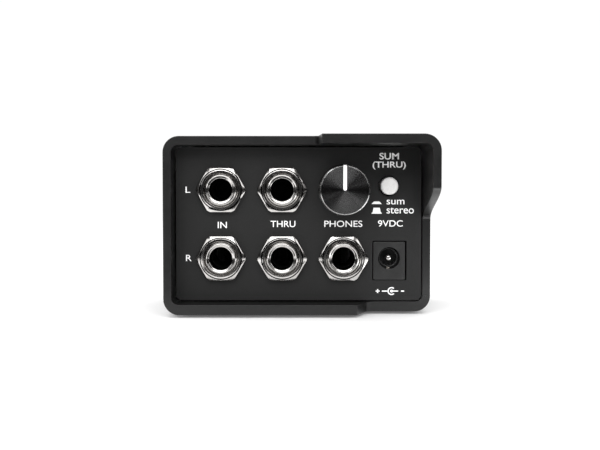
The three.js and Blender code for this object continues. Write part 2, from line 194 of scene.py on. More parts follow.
def turned_rings(s, pitch):
    """Fine lathe rings: noise that changes only with the radius and along the axis."""
    radius = radius_of(s)
    y = s.add("ShaderNodeSeparateXYZ", {0: s.attribute("local")}).outputs["Y"]
    along = s.add("ShaderNodeCombineXYZ", {"X": radius, "Y": y}).outputs[0]
    return s.noise(pitch, 2, 0.6, along)


def nickel(name, tone, rough):
    """Bright nickel plate over turned brass: lathe rings, faint smudges, and painted shade that colours the
    floor of each groove near black.
    """
    s = Shader(name)
    rings = turned_rings(s, 0.07 * MM)
    smudge = s.noise(2.2 * MM, 3, 0.55)
    colour = s.mix(s.ramp(smudge, 0.35, 0.7), grey(tone, 0.02), grey(tone * 0.86, 0.035))
    # painted shade: vertices marked edge, the floor of each nut's groove, are coloured near black as if in
    # shadow
    colour = s.mix(s.attribute("edge", "Fac"), colour, grey(0.02))
    s.set(Base_Color=colour, Metallic=1.0)
    s.set(Roughness=s.ramp(smudge, 0.3, 0.7, rough, rough + 0.07))
    s.set(Normal=s.bump(rings, 0.002 * MM, 0.5))
    return s.material


def spun_black(name):
    """Black anodised aluminium with a spun face, which fans the light out across its rings."""
    s = Shader(name)
    rings = turned_rings(s, 0.05 * MM)
    cloud = s.noise(3 * MM, 3, 0.5)
    colour = s.mix(s.ramp(rings, 0.35, 0.65), grey(0.15), grey(0.21))
    colour = s.mix(s.ramp(cloud, 0.35, 0.7, 0, 0.25), colour, grey(0.115))
    colour = s.mix(s.attribute("edge", "Fac"), colour, grey(0.6))
    s.set(Base_Color=colour, Metallic=1.0, Anisotropic=0.97, Anisotropic_Rotation=0.25)
    s.set(Roughness=s.ramp(rings, 0.3, 0.7, 0.22, 0.26))
    tangent = s.add("ShaderNodeTangent", direction_type="RADIAL", axis="Y")
    s.set(Tangent=tangent.outputs[0], Normal=s.bump(rings, 0.001 * MM, 0.3))
    return s.material


def moulded(name, level, rough, warm=0.0, pebble=0.25 * MM, depth=0.008 * MM):
    """Moulded plastic with a fine spark-eroded grain and slight gloss changes."""
    s = Shader(name)
    grain = s.noise(pebble, 3, 0.55)
    flow = s.noise(5 * MM, 2, 0.5)
    colour = s.mix(s.ramp(flow, 0.3, 0.7), grey(level * 0.92, warm), grey(level * 1.08, warm))
    s.set(Base_Color=colour, IOR=1.49)
    s.set(Roughness=s.math("ADD", s.ramp(flow, 0.3, 0.7, rough - 0.05, rough + 0.05),
                           s.ramp(grain, 0.3, 0.7, -0.05, 0.05)))
    s.set(Normal=s.bump(grain, depth, 0.6))
    return s.material


def rubber(name):
    """Matt rubber with a dusty bloom."""
    s = Shader(name)
    dust = s.noise(1.1 * MM, 5, 0.65)
    colour = s.mix(s.ramp(dust, 0.45, 0.75), grey(0.012), grey(0.05, 0.03))
    s.set(Base_Color=colour, Roughness=s.ramp(dust, 0.3, 0.7, 0.75, 0.95))
    s.set(Normal=s.bump(s.noise(0.18 * MM, 2), 0.02 * MM, 0.8))
    return s.material


def plated_steel(name, tone, rough=0.3, warm=0.0):
    """Plated or blackened steel, or spring bronze, with short scratches along one way."""
    s = Shader(name)
    stretched = s.add("ShaderNodeMapping", {"Vector": s.place(), "Scale": (1, 6, 1)}).outputs[0]
    scratch = s.noise(0.3 * MM, 4, 0.7, stretched)
    cloud = s.noise(2.5 * MM, 3, 0.5)
    colour = s.mix(s.ramp(cloud, 0.3, 0.7), grey(tone * 0.85, warm), grey(tone * 1.1, warm))
    s.set(Base_Color=colour, Metallic=1.0)
    s.set(Roughness=s.ramp(scratch, 0.3, 0.7, rough - 0.08, rough + 0.12))
    s.set(Normal=s.bump(scratch, 0.006 * MM, 0.5))
    return s.material


def ink(name):
    """White screen print: a dense matt film of faintly uneven tone."""
    s = Shader(name)
    fleck = s.noise(0.25 * MM, 4, 0.65)
    colour = s.mix(s.ramp(fleck, 0.4, 0.75), grey(0.82), grey(0.72))
    s.set(Base_Color=colour, Roughness=s.ramp(fleck, 0.3, 0.7, 0.45, 0.65))
    s.set(Normal=s.bump(fleck, 0.008 * MM, 0.5))
    return s.material


def solder_mask(name):
    """Green board laminate, with its glass weave and tracks showing faintly through the mask."""
    s = Shader(name)
    weave = s.add("ShaderNodeTexWave", {"Vector": s.place(), "Scale": 1 / (0.9 * MM), "Distortion": 0.6})
    track = s.add("ShaderNodeTexBrick", {"Vector": s.place(), "Scale": 1 / (7 * MM), "Mortar Size": 0.05})
    colour = s.mix(s.ramp(weave.outputs["Fac"], 0, 1, 0, 0.4), (0.008, 0.05, 0.018), (0.014, 0.085, 0.03))
    colour = s.mix(s.math("MULTIPLY", track.outputs["Fac"], 0.6), colour, (0.03, 0.14, 0.045))
    s.set(Base_Color=colour, Roughness=s.ramp(s.noise(1 * MM), 0.3, 0.7, 0.3, 0.45))
    s.set(Normal=s.bump(weave.outputs["Fac"], 0.01 * MM, 0.4))
    return s.material


MATERIALS = {
    # the case's coat is about a third as light as the panel's: painted shade, so the rim, out in the open
    # light, looks no lighter than the panel shaded in its recess
    "case_coat": powder_coat("case_coat", 0.0035, 0.36, 0.6),
    "panel_coat": powder_coat("panel_coat", 0.0115, 0.58, 0.28),
    "bright_nickel": nickel("bright_nickel", 0.68, 0.09),
    "black_anodised": spun_black("black_anodised"),
    "black_steel": plated_steel("black_steel", 0.05, 0.35),
    "plain_steel": plated_steel("plain_steel", 0.5, 0.3),
    "spring_bronze": plated_steel("spring_bronze", 0.6, 0.22, 0.1),
    "black_plastic": moulded("black_plastic", 0.014, 0.42),
    "gloss_plastic": moulded("gloss_plastic", 0.02, 0.14, 0, 0.8 * MM, 0.0015 * MM),
    "sleeve_film": moulded("sleeve_film", 0.025, 0.25, 0, 0.6 * MM, 0.004 * MM),
    "white_plastic": moulded("white_plastic", 0.6, 0.3, 0.01, 0.4 * MM, 0.003 * MM),
    "foot_rubber": rubber("foot_rubber"),
    "circuit_board": solder_mask("circuit_board"),
    "ink": ink("ink"),
}
SLOT_OF = {row["node"]: row["material_slot"] for row in frame["record"]["subparts"]}
SMOOTH_UNDER = math.radians(32)

# ---- mesh helpers ------------------------------------------------------------------------------


class Mesh:
    """Vertices and faces being collected for one piece, with an edge mark for each vertex (on a nut it
    marks painted shade in the groove).
    """

    def __init__(self):
        self.points, self.faces, self.edge = [], [], []

    def add(self, points, faces, edge=None):
        start = len(self.points)
        self.points.extend(tuple(p) for p in points)
        self.faces.extend([start + i for i in face] for face in faces)
        self.edge.extend(edge if edge is not None else [0.0] * len(points))

    def rings(self, rings, edge=None, close_tube=True, cap_start=False, cap_end=False):
        """Joins rings of equal length, one after the other. close_tube joins the last to the first."""
        n, count = len(rings[0]), len(rings)
        points = [p for ring in rings for p in ring]
        marks = [edge[i] for i in range(count) for _ in range(n)] if edge is not None else None
        faces = []
        for i in range(count if close_tube else count - 1):
            j = (i + 1) % count
            for k in range(n):
                m = (k + 1) % n
                faces.append([i * n + k, i * n + m, j * n + m, j * n + k])
        if cap_start:
            faces.append(list(range(n))[::-1])
        if cap_end:
            faces.append([(count - 1) * n + k for k in range(n)])
        self.add(points, faces, marks)

    def turn(self, profile, centre, facets=96, edge=None, upright=False):
        """A turned body about the front-to-back axis through centre, or an upright one.

        The profile lists (radius, place along the axis). A radius may depend on the angle.
        """
        rings = []
        for radius, along in profile:
            rings.append([])
            for a in [2 * math.pi * k / facets for k in range(facets)]:
                r = radius(a) if callable(radius) else radius
                u, v = r * math.sin(a), r * math.cos(a)
                if upright:
                    rings[-1].append((centre.x + u, centre.y + v, along))
                else:
                    rings[-1].append((centre.x + u, along, centre.z + v))
        self.rings(rings, edge)

    def block(self, low, high):
        """A box between two corners."""
        xs, ys, zs = zip(low, high)
        points = [(x, y, z) for z in zs for y in ys for x in xs]
        faces = [[0, 2, 3, 1], [4, 5, 7, 6], [0, 1, 5, 4], [2, 6, 7, 3], [0, 4, 6, 2], [1, 3, 7, 5]]
        self.add(points, faces)


def finish_piece(name, mesh, material, body, replaces=(), local=None, bevel=0):
    """Makes a Mesh or a bpy mesh into a piece that rides on a body.

    local is the point on its turning axis that a lathe-turned material measures from.
    """
    if isinstance(mesh, Mesh):
        data = bpy.data.meshes.new(name)
        data.from_pydata(mesh.points, [], mesh.faces)
        marks = data.attributes.new("edge", "FLOAT", "POINT")
        marks.data.foreach_set("value", mesh.edge)
    else:
        data = mesh
        data.name = name
    data.validate()
    work = bmesh.new()
    work.from_mesh(data)
    bmesh.ops.remove_doubles(work, verts=work.verts, dist=1e-8)
    bmesh.ops.recalc_face_normals(work, faces=work.faces)
    work.to_mesh(data)
    work.free()
    if local is not None:
        store = data.attributes.new("local", "FLOAT_VECTOR", "POINT")
        places = [v.co - local for v in data.vertices]
        store.data.foreach_set("vector", [c for place in places for c in place])
    data.polygons.foreach_set("use_smooth", [True] * len(data.polygons))
    data.set_sharp_from_angle(angle=SMOOTH_UNDER)
    data.materials.clear()
    data.materials.append(MATERIALS[material])
    piece = bpy.data.objects.new(name, data)
    bpy.context.scene.collection.objects.link(piece)
    if bevel:
        rounding = piece.modifiers.new("rounded_edges", "BEVEL")
        rounding.width = bevel
        rounding.segments = 3
        rounding.limit_method = "ANGLE"
        rounding.angle_limit = math.radians(28)
        rounding.harden_normals = True
    weighted = piece.modifiers.new("even_normals", "WEIGHTED_NORMAL")
    weighted.keep_sharp = True
    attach(piece, body)
    if replaces:
        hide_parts(*replaces)
    return piece


def hexagon(flats):
    """A hexagon's radius against the angle, for turned bodies with a hexagonal stretch."""
    return lambda a: flats / 2 / math.cos((a + math.pi / 6) % (math.pi / 3) - math.pi / 6)


def circle(x, z, radius, points=72):
    return [
        (x + radius * math.cos(2 * math.pi * k / points), z + radius * math.sin(2 * math.pi * k / points))
        for k in range(points)
    ]


def rounded_outline(x0, x1, z0, z1, radius):
    points = 12
    outline = []
    corners = [(x1, z1, 0), (x0, z1, 1), (x0, z0, 2), (x1, z0, 3)]
    for x, z, turn in corners:
        cx = x - math.copysign(radius, x - (x0 + x1) / 2)
        cz = z - math.copysign(radius, z - (z0 + z1) / 2)
        for k in range(points + 1):
            a = math.pi / 2 * (turn + k / points)
            outline.append((cx + radius * math.cos(a), cz + radius * math.sin(a)))
    return outline


def plate_mesh(outlines, y0, y1, bevel):
    """A flat plate facing -Y with holes: the first outline is its edge and the others are holes."""
    curve = bpy.data.curves.new("plate", "CURVE")
    curve.dimensions = "2D"
    curve.fill_mode = "BOTH"
    curve.extrude = (y1 - y0) / 2 - bevel
    curve.bevel_depth = bevel
    curve.bevel_resolution = 2
    curve.offset = -bevel
    for outline in outlines:
        spline = curve.splines.new("POLY")
        spline.points.add(len(outline) - 1)
        spline.use_cyclic_u = True
        for point, (x, z) in zip(spline.points, outline):
            point.co = (x, z, 0, 1)
    return standing_mesh(curve, (y0 + y1) / 2)


def standing_mesh(curve, y):
    """A flat curve or text as a mesh that stands up facing -Y at y."""
    holder = bpy.data.objects.new("holder", curve)
    bpy.context.scene.collection.objects.link(holder)
    bpy.context.view_layer.update()
    graph = bpy.context.evaluated_depsgraph_get()
    data = bpy.data.meshes.new_from_object(holder.evaluated_get(graph))
    bpy.data.objects.remove(holder)
    for vertex in data.vertices:
        u, v, w = vertex.co
        vertex.co = (u, y - w, v)
    return data


# ---- case --------------------------------------------------------------------------------------

HOOD = PANEL_Y - shell_low.y                     # the hood's reach in front of the panel
RIM = 9 * MM                                     # the raised rim's reach
# Each ramp of the front edge: x where it leaves the shallower stretch, x where it would meet the deeper
# one, the fillet at its foot, and the two stretches' reaches.
ROOF_RAMP = (4.1 * MM, 6.2 * MM, 1.35 * MM, RIM, HOOD)
FLOOR_RAMP = (21.4 * MM, 16.35 * MM, 2.5 * MM, 0.0, RIM)
SIDE_CURVE = (1.4 * MM, 10.8 * MM)               # z, where the right wall's edge swings out
OUTER_RADIUS = 4.5 * MM
INNER_RADIUS = 2.0 * MM
PLATE_GAP = 0.3 * MM
EDGE_RADIUS = 0.12 * MM
CREST_RADIUS = 0.6 * MM


def ramp_points(foot, crest, fillet, low, high):
    """The ramp's edge as (x, reach), from its fillet to just past its rounded crest."""
    side, steps = math.copysign(1, crest - foot), 10
    run, rise = abs(crest - foot), high - low - fillet
    steep = math.atan2(rise, run) + math.asin(fillet / math.hypot(run, rise))
    points = []
    for k in range(steps + 1):
        a = steep * k / steps
        points.append((foot + side * fillet * math.sin(a), low + fillet * (1 - math.cos(a))))
    back = CREST_RADIUS * math.tan(steep / 2)
    start = (crest - side * back * math.cos(steep), high - back * math.sin(steep))
    x, reach = points[-1]
    points += [(x + (start[0] - x) * k / 4, reach + (start[1] - reach) * k / 4) for k in range(1, 4)]
    centre = (crest + side * back, high - CREST_RADIUS)
    for k in range(steps + 1):
        a = steep * (1 - k / steps)
        across = side * CREST_RADIUS * math.sin(a)
        points.append((centre[0] - across, centre[1] + CREST_RADIUS * math.cos(a)))
    return points


def side_depth(z):
    """The reach of the right wall's edge at a height, swinging smoothly from flush out to the hood's."""
    t = min(max((z - SIDE_CURVE[0]) / (SIDE_CURVE[1] - SIDE_CURVE[0]), 0), 1)
    return HOOD * t * t * (3 - 2 * t)


def spread(a, b, step):
    """Even values from a towards b, about a step apart, without b itself."""
    count = max(2, round(abs(b - a) / step))
    return [a + (b - a) * k / count for k in range(count)]


def case_stations():
    """Matching outer and inner points around the sleeve with the front edge's reach at each.

    They run anticlockwise seen from the front, from the lower end of the right wall.
    """
    half_w = shell_high.x
    top, bottom = shell_high.z - PANEL_Z, shell_low.z - PANEL_Z
    open_w = panel_high.x + PLATE_GAP
    open_h = (panel_high.z - panel_low.z) / 2 + PLATE_GAP
    flat_x, flat_top, flat_bottom = half_w - OUTER_RADIUS, top - OUTER_RADIUS, bottom + OUTER_RADIUS
    corner_steps = 12
    stations = []

    def corner(sx, sz, turn, reach):
        middle_z = flat_top if sz > 0 else flat_bottom
        for k in range(corner_steps):
            a = math.pi / 2 * (turn + k / corner_steps)
            outer = (sx * flat_x + OUTER_RADIUS * math.cos(a), middle_z + OUTER_RADIUS * math.sin(a))
            inner = (sx * (open_w - INNER_RADIUS) + INNER_RADIUS * math.cos(a),
                     sz * (open_h - INNER_RADIUS) + INNER_RADIUS * math.sin(a))
            stations.append((outer, inner, reach))

    def wall(zs, sx, reach_at):
        stations.extend(((sx * half_w, z), (sx * open_w, z), reach_at(z)) for z in zs)

    def flat(points, sz):
        outer_z, inner_z = (top, open_h) if sz > 0 else (bottom, -open_h)
        stations.extend(((x, outer_z), (x, inner_z), reach) for x, reach in points)

    coarse, fine, margin = 3 * MM, 0.2 * MM, 1 * MM
    wall(spread(flat_bottom, SIDE_CURVE[0] - margin, coarse), 1, side_depth)
    wall(spread(SIDE_CURVE[0] - margin, SIDE_CURVE[1] + margin, fine), 1, side_depth)
    wall(spread(SIDE_CURVE[1] + margin, flat_top, coarse), 1, side_depth)
    corner(1, 1, 0, HOOD)
    ramp = ramp_points(*ROOF_RAMP)[::-1]
    flat([(x, HOOD) for x in spread(flat_x, ramp[0][0] + margin, coarse)], 1)
    flat([(ramp[0][0] + margin, HOOD), *ramp, (ramp[-1][0] - margin, RIM)], 1)
    flat([(x, RIM) for x in spread(ramp[-1][0] - 2 * margin, -flat_x, coarse)], 1)
    corner(-1, 1, 1, RIM)
    wall(spread(flat_top, flat_bottom, coarse), -1, lambda z: RIM)
    corner(-1, -1, 2, RIM)
    ramp = ramp_points(*FLOOR_RAMP)[::-1]
    flat([(x, RIM) for x in spread(-flat_x, ramp[0][0] - margin, coarse)], -1)
    flat([(ramp[0][0] - margin, RIM), *ramp, (ramp[-1][0] + margin, 0)], -1)
    flat([(x, 0) for x in spread(ramp[-1][0] + 2 * margin, flat_x, coarse)], -1)
    corner(1, -1, 3, 0)
    return stations


def case_mesh():
    """The sleeve as one closed tube of loops, with its front and rear edges rounded."""
    stations = case_stations()
    outer = np.array([s[0] for s in stations])
    inner = np.array([s[1] for s in stations])
    reach = np.array([s[2] for s in stations])
    steps = np.linalg.norm(np.roll(outer, -1, 0) - outer, axis=1)
    total = steps.sum()
    along = np.concatenate([[0], np.cumsum(steps)[:-1]])
    slope = (np.roll(reach, -1) - np.roll(reach, 1)) / (steps + np.roll(steps, 1))
    length = np.hypot(slope, 1)
    ahead_along, ahead = -slope / length, 1 / length

    def at(values, where):
        wrapped = np.concatenate([values, values[:1]])
        knots = np.concatenate([along, [total]])
        return np.interp(np.mod(where, total), knots, wrapped)

    def ring(inset, back, rear=None, inside=False):
        """One loop: inset from the outer or inner wall, and back from the front edge or at a set y."""
        where = along - (back * ahead_along if rear is None else 0)
        o = np.stack([at(outer[:, i], where) for i in (0, 1)], 1)
        n = np.stack([at(inner[:, i], where) for i in (0, 1)], 1)
        thick = np.linalg.norm(n - o, axis=1)
        t = 1 - inset / thick if inside else inset / thick
        xz = o + (n - o) * np.clip(t, 0, 1)[:, None]
        y = PANEL_Y - (reach - back * ahead) if rear is None else np.full(len(reach), rear)
        return [(x, yy, z + PANEL_Z) for (x, z), yy in zip(xz, y)]

    turns = [math.pi / 2 * k / 4 for k in range(5)]
    r = EDGE_RADIUS
    rings, edge = [], []

    def put(loop, mark):
        rings.append(loop)
        edge.append(mark)

    # From the rear along the outside, over the front edge, back along the inside, over the rear edge.
    rear = shell_high.y
    before_rear = rear - 2 * MM
    for a in reversed(turns):
        put(ring(r - r * math.cos(a), 0, rear - (r - r * math.sin(a))), 1)
    put(ring(0, 0, before_rear), 0)
    put(ring(0, 1.25 * r), 0)
    for a in turns:
        put(ring(r - r * math.cos(a), r - r * math.sin(a)), 1)
    put(ring(2 * r, 0), 0)
    put(ring(2 * r, 0, inside=True), 0)
    for a in reversed(turns):
        put(ring(r - r * math.cos(a), r - r * math.sin(a), inside=True), 1)
    put(ring(0, 1.25 * r, inside=True), 0)
    put(ring(0, 0, before_rear, inside=True), 0)
    for a in turns:
        put(ring(r - r * math.cos(a), 0, rear - (r - r * math.sin(a)), inside=True), 1)
    mesh = Mesh()
    mesh.rings(rings, edge)
    return mesh


finish_piece("case_shell", case_mesh(), "case_coat", "chassis", ["shell"])

# ---- panels ------------------------------------------------------------------------------------


def plain_outline(node, radius):
    low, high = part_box(node)
    return rounded_outline(low.x, high.x, low.z, high.z, radius)


def clearance_outline(node, gap):
    """The outline of a round hole, wider than what stands in it by a gap all round."""
    low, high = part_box(node)
    return circle(middle(node).x, middle(node).z, (high.x - low.x) / 2 + gap)


PANEL_RADIUS = 1.7 * MM
PANEL_BEVEL = 0.12 * MM
INLET_CORNER = 0.4 * MM
# the dark gap round the inlet is wider to the right and above
INLET_GAP_LEFT, INLET_GAP_RIGHT = 0.22 * MM, 0.4 * MM
INLET_GAP_BELOW, INLET_GAP_ABOVE = 0.12 * MM, 0.26 * MM

panel_outlines = [plain_outline("front_panel", PANEL_RADIUS)]
panel_outlines += [clearance_outline(f"{name}_jack_bushing", 0.3 * MM) for name in JACK_NAMES]
panel_outlines += [clearance_outline("pot_shaft", 0.8 * MM), clearance_outline("button_cap", 0.4 * MM)]
inlet_low, inlet_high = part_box("dc_inlet_body")
panel_outlines.append(rounded_outline(
    inlet_low.x - INLET_GAP_LEFT, inlet_high.x + INLET_GAP_RIGHT,
    inlet_low.z - INLET_GAP_BELOW, inlet_high.z + INLET_GAP_ABOVE, INLET_CORNER,
))
finish_piece(
    "panel_plate", plate_mesh(panel_outlines, panel_low.y, panel_high.y, PANEL_BEVEL),
    "panel_coat", "chassis", ["front_panel"],
)

rear_outlines = [plain_outline("rear_cover", PANEL_RADIUS)]
rear_outlines += [clearance_outline(f"rear_screw_{i}", 0.1 * MM) for i in range(1, 5)]
finish_piece(
    "rear_plate", plate_mesh(rear_outlines, cover_low.y, cover_high.y, PANEL_BEVEL),
    "panel_coat", "chassis", ["rear_cover"],
)

# ---- sockets -----------------------------------------------------------------------------------

NUT_FLATS = 12.7 * MM
NUT_CORNERS = 14.1 * MM
NUT_BORE = 4.85 * MM
NUT_FACE = 5.7 * MM                 # radius of the flat face
NUT_CONE = math.radians(17)         # slope of the turned-down corners


def nut_mesh(node):
    """A hexagon nut: a turned face, a fine groove round it, and the corners turned down to a cone."""
    low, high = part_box(node)
    centre = (low + high) / 2
    facets = 180
    # the two marked rings are the groove's floor, which the nickel colours near black: painted shade
    edge = [0, 0, 0, 0, 0, 0, 1, 1, 0, 0, 0, 0, 0]
    rings = [[] for _ in edge]
    small = 0.07 * MM
    face, bore = NUT_FACE, NUT_BORE
    groove = face + 0.2 * MM

    def cone(radius):
        return low.y + math.tan(NUT_CONE) * (radius - face)

    for k in range(facets):
        a = 2 * math.pi * k / facets
        off = (a + math.pi / 6) % (math.pi / 3) - math.pi / 6
        side = min(NUT_FLATS / 2 / math.cos(math.pi / 6 - abs(off)), NUT_CORNERS / 2)
        profile = [
            (side - small, high.y), (side, high.y - small), (side, cone(side) + 1.2 * small),
            (side - small / 2, cone(side) + small / 4), (side - 2 * small, cone(side - 2 * small)),
            (groove + 2 * small, cone(groove + 2 * small)), (groove + 1.2 * small, low.y + 3 * small),
            (groove - 1.4 * small, low.y + 3 * small), (face, low.y + small / 3), (face - small, low.y),
            (bore + 2 * small, low.y), (bore, low.y + 2 * small), (bore, high.y),
        ]
        for ring, (r, y) in zip(rings, profile):
            ring.append((centre.x + r * math.cos(a), y, centre.z + r * math.sin(a)))
    mesh = Mesh()
    mesh.rings(rings, edge)
    return mesh, centre


def bushing_mesh(node):
    """The socket's threaded nose: a shallow funnel inside a raised lip, a step, then the thread."""
    low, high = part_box(node)
    profile = [
        (3.25, 8.7), (3.25, 0.75), (3.27, 0.5), (3.32, 0.33), (3.4, 0.27), (3.6, 0.23), (3.8, 0.19),
        (3.9, 0.16), (4.0, 0.09), (4.06, 0.04), (4.1, 0.02), (4.15, 0.03), (4.32, 0.12), (4.38, 0.2),
        (4.4, 0.4), (4.5, 0.45),
    ]
    pitch, crest, root = 0.75, 4.74, 4.45
    for k in range(3):
        y = 0.45 + k * pitch
        profile += [(crest - 0.06, y + 0.2), (crest, y + 0.27), (crest, y + 0.36), (root, y + 0.66)]
    profile += [(4.5, 3.0), (4.75, 3.2), (4.75, 8.7)]
    centre = (low + high) / 2
    mesh = Mesh()
    mesh.turn([(r * MM, low.y + y * MM) for r, y in profile], centre, 120)
    return mesh, centre


for name in JACK_NAMES:
    mesh, centre = nut_mesh(f"{name}_jack_nut")
    finish_piece(f"{name}_nut", mesh, "bright_nickel", "chassis", [f"{name}_jack_nut"],
                 centre)
    mesh, centre = bushing_mesh(f"{name}_jack_bushing")
    finish_piece(f"{name}_bushing", mesh, "bright_nickel", "chassis", [f"{name}_jack_bushing"],
                 centre)

# ---- volume knob -------------------------------------------------------------------------------

knob_low, knob_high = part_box("volume_knob")
knob_centre = middle("volume_knob")
KNOB_RADIUS, KNOB_EDGE = 6.9, 0.4       # in millimetres, with the rounding of its front edge
POINTER_WIDTH = 0.95


def knob_mesh():
    """The knob from its face back: polished edge, side, a groove, the skirt and the bore."""
    front, back = 0.0, (knob_high.y - knob_low.y) / MM
    edge = KNOB_EDGE
    profile = [(0.02, front), (2, front), (5, front), (6.3, front), (6.44, 0.004)]
    profile += [(KNOB_RADIUS - edge + edge * math.sin(a), edge - edge * math.cos(a))
                for a in [math.pi / 2 * k / 6 for k in range(7)]]
    profile += [(KNOB_RADIUS, 7.6)]
    profile += [(6.78, 7.75), (6.78, 8.0), (6.9, 8.15), (7.12, 8.4), (7.2, 8.55), (7.2, back - 0.15)]
    profile += [(7.1, back), (4.2, back), (4.2, back - 1.4), (3.2, back - 1.4), (3.2, 1.5), (0.02, 1.5)]
    mesh = Mesh()
    # only the rounding between face and side is polished bright
    marks = [1.0 if KNOB_RADIUS - 0.3 < r < KNOB_RADIUS and y < edge else 0.0 for r, y in profile]
    mesh.turn([(r * MM, knob_low.y + y * MM) for r, y in profile], knob_centre, 144, marks)
    return mesh


finish_piece("knob_body", knob_mesh(), "black_anodised", "volume_control", ["volume_knob"],
             knob_centre)


def pointer_mesh():
    """The white line: a band that runs from the middle, over the edge and down the side."""
    film = 0.03 * MM
    # width, height above the axis and distance behind the knob's face, in millimetres
    path = [(0.5, -0.1, 0), (0.75, 0.02, 0), (0.9, 0.22, 0)]
    path += [(POINTER_WIDTH, z, 0) for z in (0.45, 3, 6.2)]
    path += [(POINTER_WIDTH, KNOB_RADIUS + KNOB_EDGE * (math.sin(a) - 1), KNOB_EDGE * (1 - math.cos(a)))
             for a in [math.pi / 2 * k / 5 for k in range(6)]]
    path += [(POINTER_WIDTH, KNOB_RADIUS, 7.4)]
    mesh = Mesh()
    rings = []
    for i, (width, z, y) in enumerate(path):
        before = Vector(path[max(i - 1, 0)][1:])
        after = Vector(path[min(i + 1, len(path) - 1)][1:])
        along = (after - before).normalized()
        out = Vector((along.y, -along.x))
        rings.append([(
            knob_centre.x + side * width / 2 * MM,
            knob_low.y + y * MM + out.y * film * lift,
            knob_centre.z + z * MM + out.x * film * lift,
        ) for side, lift in [(-1, -1), (1, -1), (1, 1), (-1, 1)]])
    mesh.rings(rings, close_tube=False, cap_start=True, cap_end=True)
    return mesh


finish_piece("knob_pointer", pointer_mesh(), "ink", "volume_control")

# ---- button ------------------------------------------------------------------------------------


def button_mesh():
    low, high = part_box("button_cap")
    length = (high.y - low.y) / MM
    profile = [(0.01, 0.0), (1.0, 0.01), (1.7, 0.04), (2.1, 0.1), (2.32, 0.22), (2.45, 0.42), (2.5, 0.7)]
    profile += [(2.5, length - 0.2), (2.3, length), (0.01, length)]
    mesh = Mesh()
    mesh.turn([(r * MM, low.y + y * MM) for r, y in profile], middle("button_cap"), 96)
    return mesh


finish_piece("button", button_mesh(), "white_plastic", "mode_button", ["button_cap"])

# ---- direct-current inlet ----------------------------------------------------------------------

INLET_BORE = 3.12 * MM
INLET_DEPTH = 9.5 * MM


def inlet_mesh():
    low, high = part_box("dc_inlet_body")
    pin = middle("dc_inlet_pin")
    outlines = [
        rounded_outline(low.x, high.x, low.z, high.z, 0.35 * MM),
        circle(pin.x, pin.z, INLET_BORE),
    ]
    return plate_mesh(outlines, low.y, low.y + INLET_DEPTH, 0.15 * MM)


finish_piece("inlet_housing", inlet_mesh(), "black_plastic", "chassis", ["dc_inlet_body"])


def inlet_liner_mesh():
    """A polished cup behind the opening, with a rounded collar that catches the light."""
    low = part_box("dc_inlet_body")[0]
    collar = [(3.0, 3.4), (2.94, 3.1), (2.8, 2.9), (2.62, 2.82), (2.46, 2.9), (2.36, 3.1), (2.32, 3.4)]
    profile = [(3.3, 9.4), (3.3, 3.45), *collar, (2.32, 8.6), (0.02, 8.8), (0.02, 9.4)]
    mesh = Mesh()
    mesh.turn([(r * MM, low.y + y * MM) for r, y in profile], middle("dc_inlet_pin"), 96)
    return mesh


finish_piece("inlet_liner", inlet_liner_mesh(), "gloss_plastic", "chassis")


def inlet_spring_mesh():
    """The side contact: a folded strip of bronze below the pin, with its nose bent towards it."""
    low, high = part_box("dc_inlet_spring")
    # half width, distance behind the strip's start and height, in millimetres
    path = [(0.35, -1.1, 0.9), (0.4, -1.05, 1.3), (0.45, -0.85, 1.52), (0.45, -0.55, 1.55)]
    path += [(0.5, -0.2, 1.3), (0.7, 0.3, 0.75), (1.1, 1.2, 0.4), (1.1, 3.0, 0.9)]
    path += [(1.1, 3.6, 1.05), (1.1, 4.2, 0.9), (1.1, 7.2, 0.1)]
    thick, nose = 0.22, -0.25 * MM
    rings = []
    for half, y, z in path:
        x = (low.x + high.x) / 2 + (nose if half < 1 else 0)
        rings.append([
            (x + side * half * MM, low.y + y * MM, low.z + (z + lift) * MM)
            for side, lift in [(-1, 0), (1, 0), (1, thick), (-1, thick)]
        ])
    mesh = Mesh()
    mesh.rings(rings, close_tube=False, cap_start=True, cap_end=True)
    return mesh


finish_piece("inlet_spring", inlet_spring_mesh(), "spring_bronze", "chassis", ["dc_inlet_spring"],
             bevel=0.04 * MM)


def pin_mesh():
    """The inlet's centre pin, with a domed tip."""
    low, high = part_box("dc_inlet_pin")
    radius = (high.x - low.x) / 2
    domed = [(radius * math.sin(a), low.y + radius * 0.8 * (1 - math.cos(a)))
             for a in [math.pi / 2 * k / 8 for k in range(9)]]
    domed[0] = (0.01 * MM, low.y)
    mesh = Mesh()
    mesh.turn([*domed, (radius, high.y), (0.01 * MM, high.y)], middle("dc_inlet_pin"), 48)
    return mesh


finish_piece("inlet_pin", pin_mesh(), "bright_nickel", "chassis", ["dc_inlet_pin"],
             middle("dc_inlet_pin"))

# ---- feet, screws and parts on the boards ------------------------------------------------------


def foot_mesh(node):
    """A round rubber foot with a rolled rim and a shallow dish underneath."""
    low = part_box(node)[0]
    profile = [(0.02, 0.22), (2.5, 0.22), (2.75, 0.15), (2.9, 0.04), (3.05, 0.0), (3.5, 0.0), (3.76, 0.05),
               (3.93, 0.18), (4.0, 0.4), (4.0, 1.3), (0.02, 1.3)]
    mesh = Mesh()
    mesh.turn([(r * MM, low.z + z * MM) for r, z in profile], middle(node), 72, upright=True)
    return mesh


